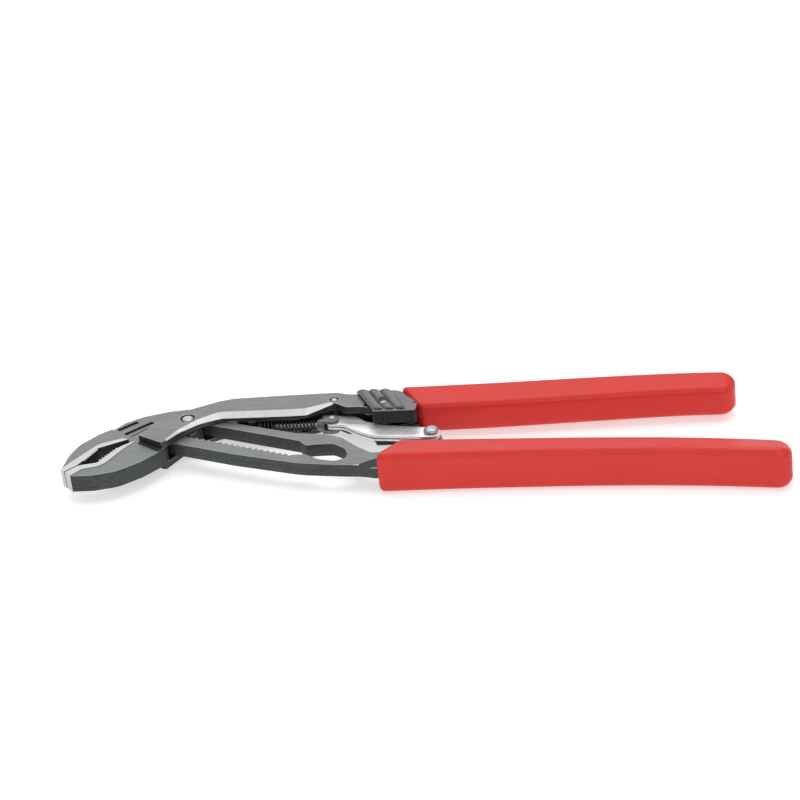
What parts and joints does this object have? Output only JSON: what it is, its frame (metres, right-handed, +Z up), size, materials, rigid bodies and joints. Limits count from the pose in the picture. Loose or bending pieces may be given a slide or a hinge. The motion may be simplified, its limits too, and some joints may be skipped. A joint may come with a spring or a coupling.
{
  "type": "tongue and groove pliers",
  "caption": "Self-adjusting tongue and groove pliers with toothed pipe jaws, a toothed slot lever, a sprung link, a thumb slide lock and red sleeve grips.",
  "frame": {"origin": "middle of the bounding box's underside, with the pliers lying flat and the jaws shut", "axes": "+X from the jaws to the handles, +Y to the handle with the thumb slide, +Z up, square to the flat of the tool"},
  "size_m": [0.2494, 0.0572, 0.0154],
  "materials": {
    "forged_steel": "satin grey phosphate on forged steel, jaw edges ground bright",
    "bright_steel": "bright turned steel",
    "zinc_steel": "bright zinc plate on stamped steel",
    "black_steel": "black oxide",
    "black_nylon": "satin moulded nylon",
    "red_vinyl": "satin red vinyl sleeve"
  },
  "bodies": {
    "outer": {"outer_lever": "forged_steel", "main_pin": "bright_steel", "cross_pin": "bright_steel", "compression_spring": "black_steel", "upper_grip": "red_vinyl"},
    "pawl": {"pawl": "forged_steel"},
    "inner": {"inner_lever": "forged_steel", "lower_grip": "red_vinyl", "rivet_tail": "bright_steel"},
    "seat": {"spring_seat": "black_steel", "spring_stem": "bright_steel", "link_pin": "black_steel"},
    "link": {"link_plate_upper": "zinc_steel", "link_plate_lower": "zinc_steel", "link_rivet": "bright_steel"},
    "slide": {"thumb_slide": "black_nylon", "slide_back": "black_nylon", "lock_pin": "bright_steel"}
  },
  "joints": [
    {"name": "jaw_pivot", "type": "hinge", "parent": "outer", "child": "pawl", "pos_m": [-0.08516, 0.0103, 0.0077], "axis": [0, 0, -1], "range_deg": [0, 30]},
    {"name": "slot_slide", "type": "slide", "parent": "pawl", "child": "inner", "axis": [-0.9342, 0.3567, 0], "range_m": [0, 0.0201]},
    {"name": "seat_slide", "type": "slide", "parent": "outer", "child": "seat", "axis": [-1, 0, 0], "range_m": [0, 0.005], "stiffness_N_per_m": 1500, "deforming": ["compression_spring"]},
    {"name": "link_hinge", "type": "hinge", "parent": "seat", "child": "link", "pos_m": [-0.03416, 0.0119, 0.0077], "axis": [0, 0, -1], "range_deg": [0, 63.3]},
    {"name": "thumb_slide", "type": "slide", "parent": "outer", "child": "slide", "axis": [-1, 0, 0], "range_m": [0, 0.005]}
  ],
  "couplings": [
    {"joint": "slot_slide", "follows": "jaw_pivot", "m_per_rad": 0.038323},
    {"joint": "link_hinge", "follows": "jaw_pivot", "ratio": 2.1053}
  ]
}
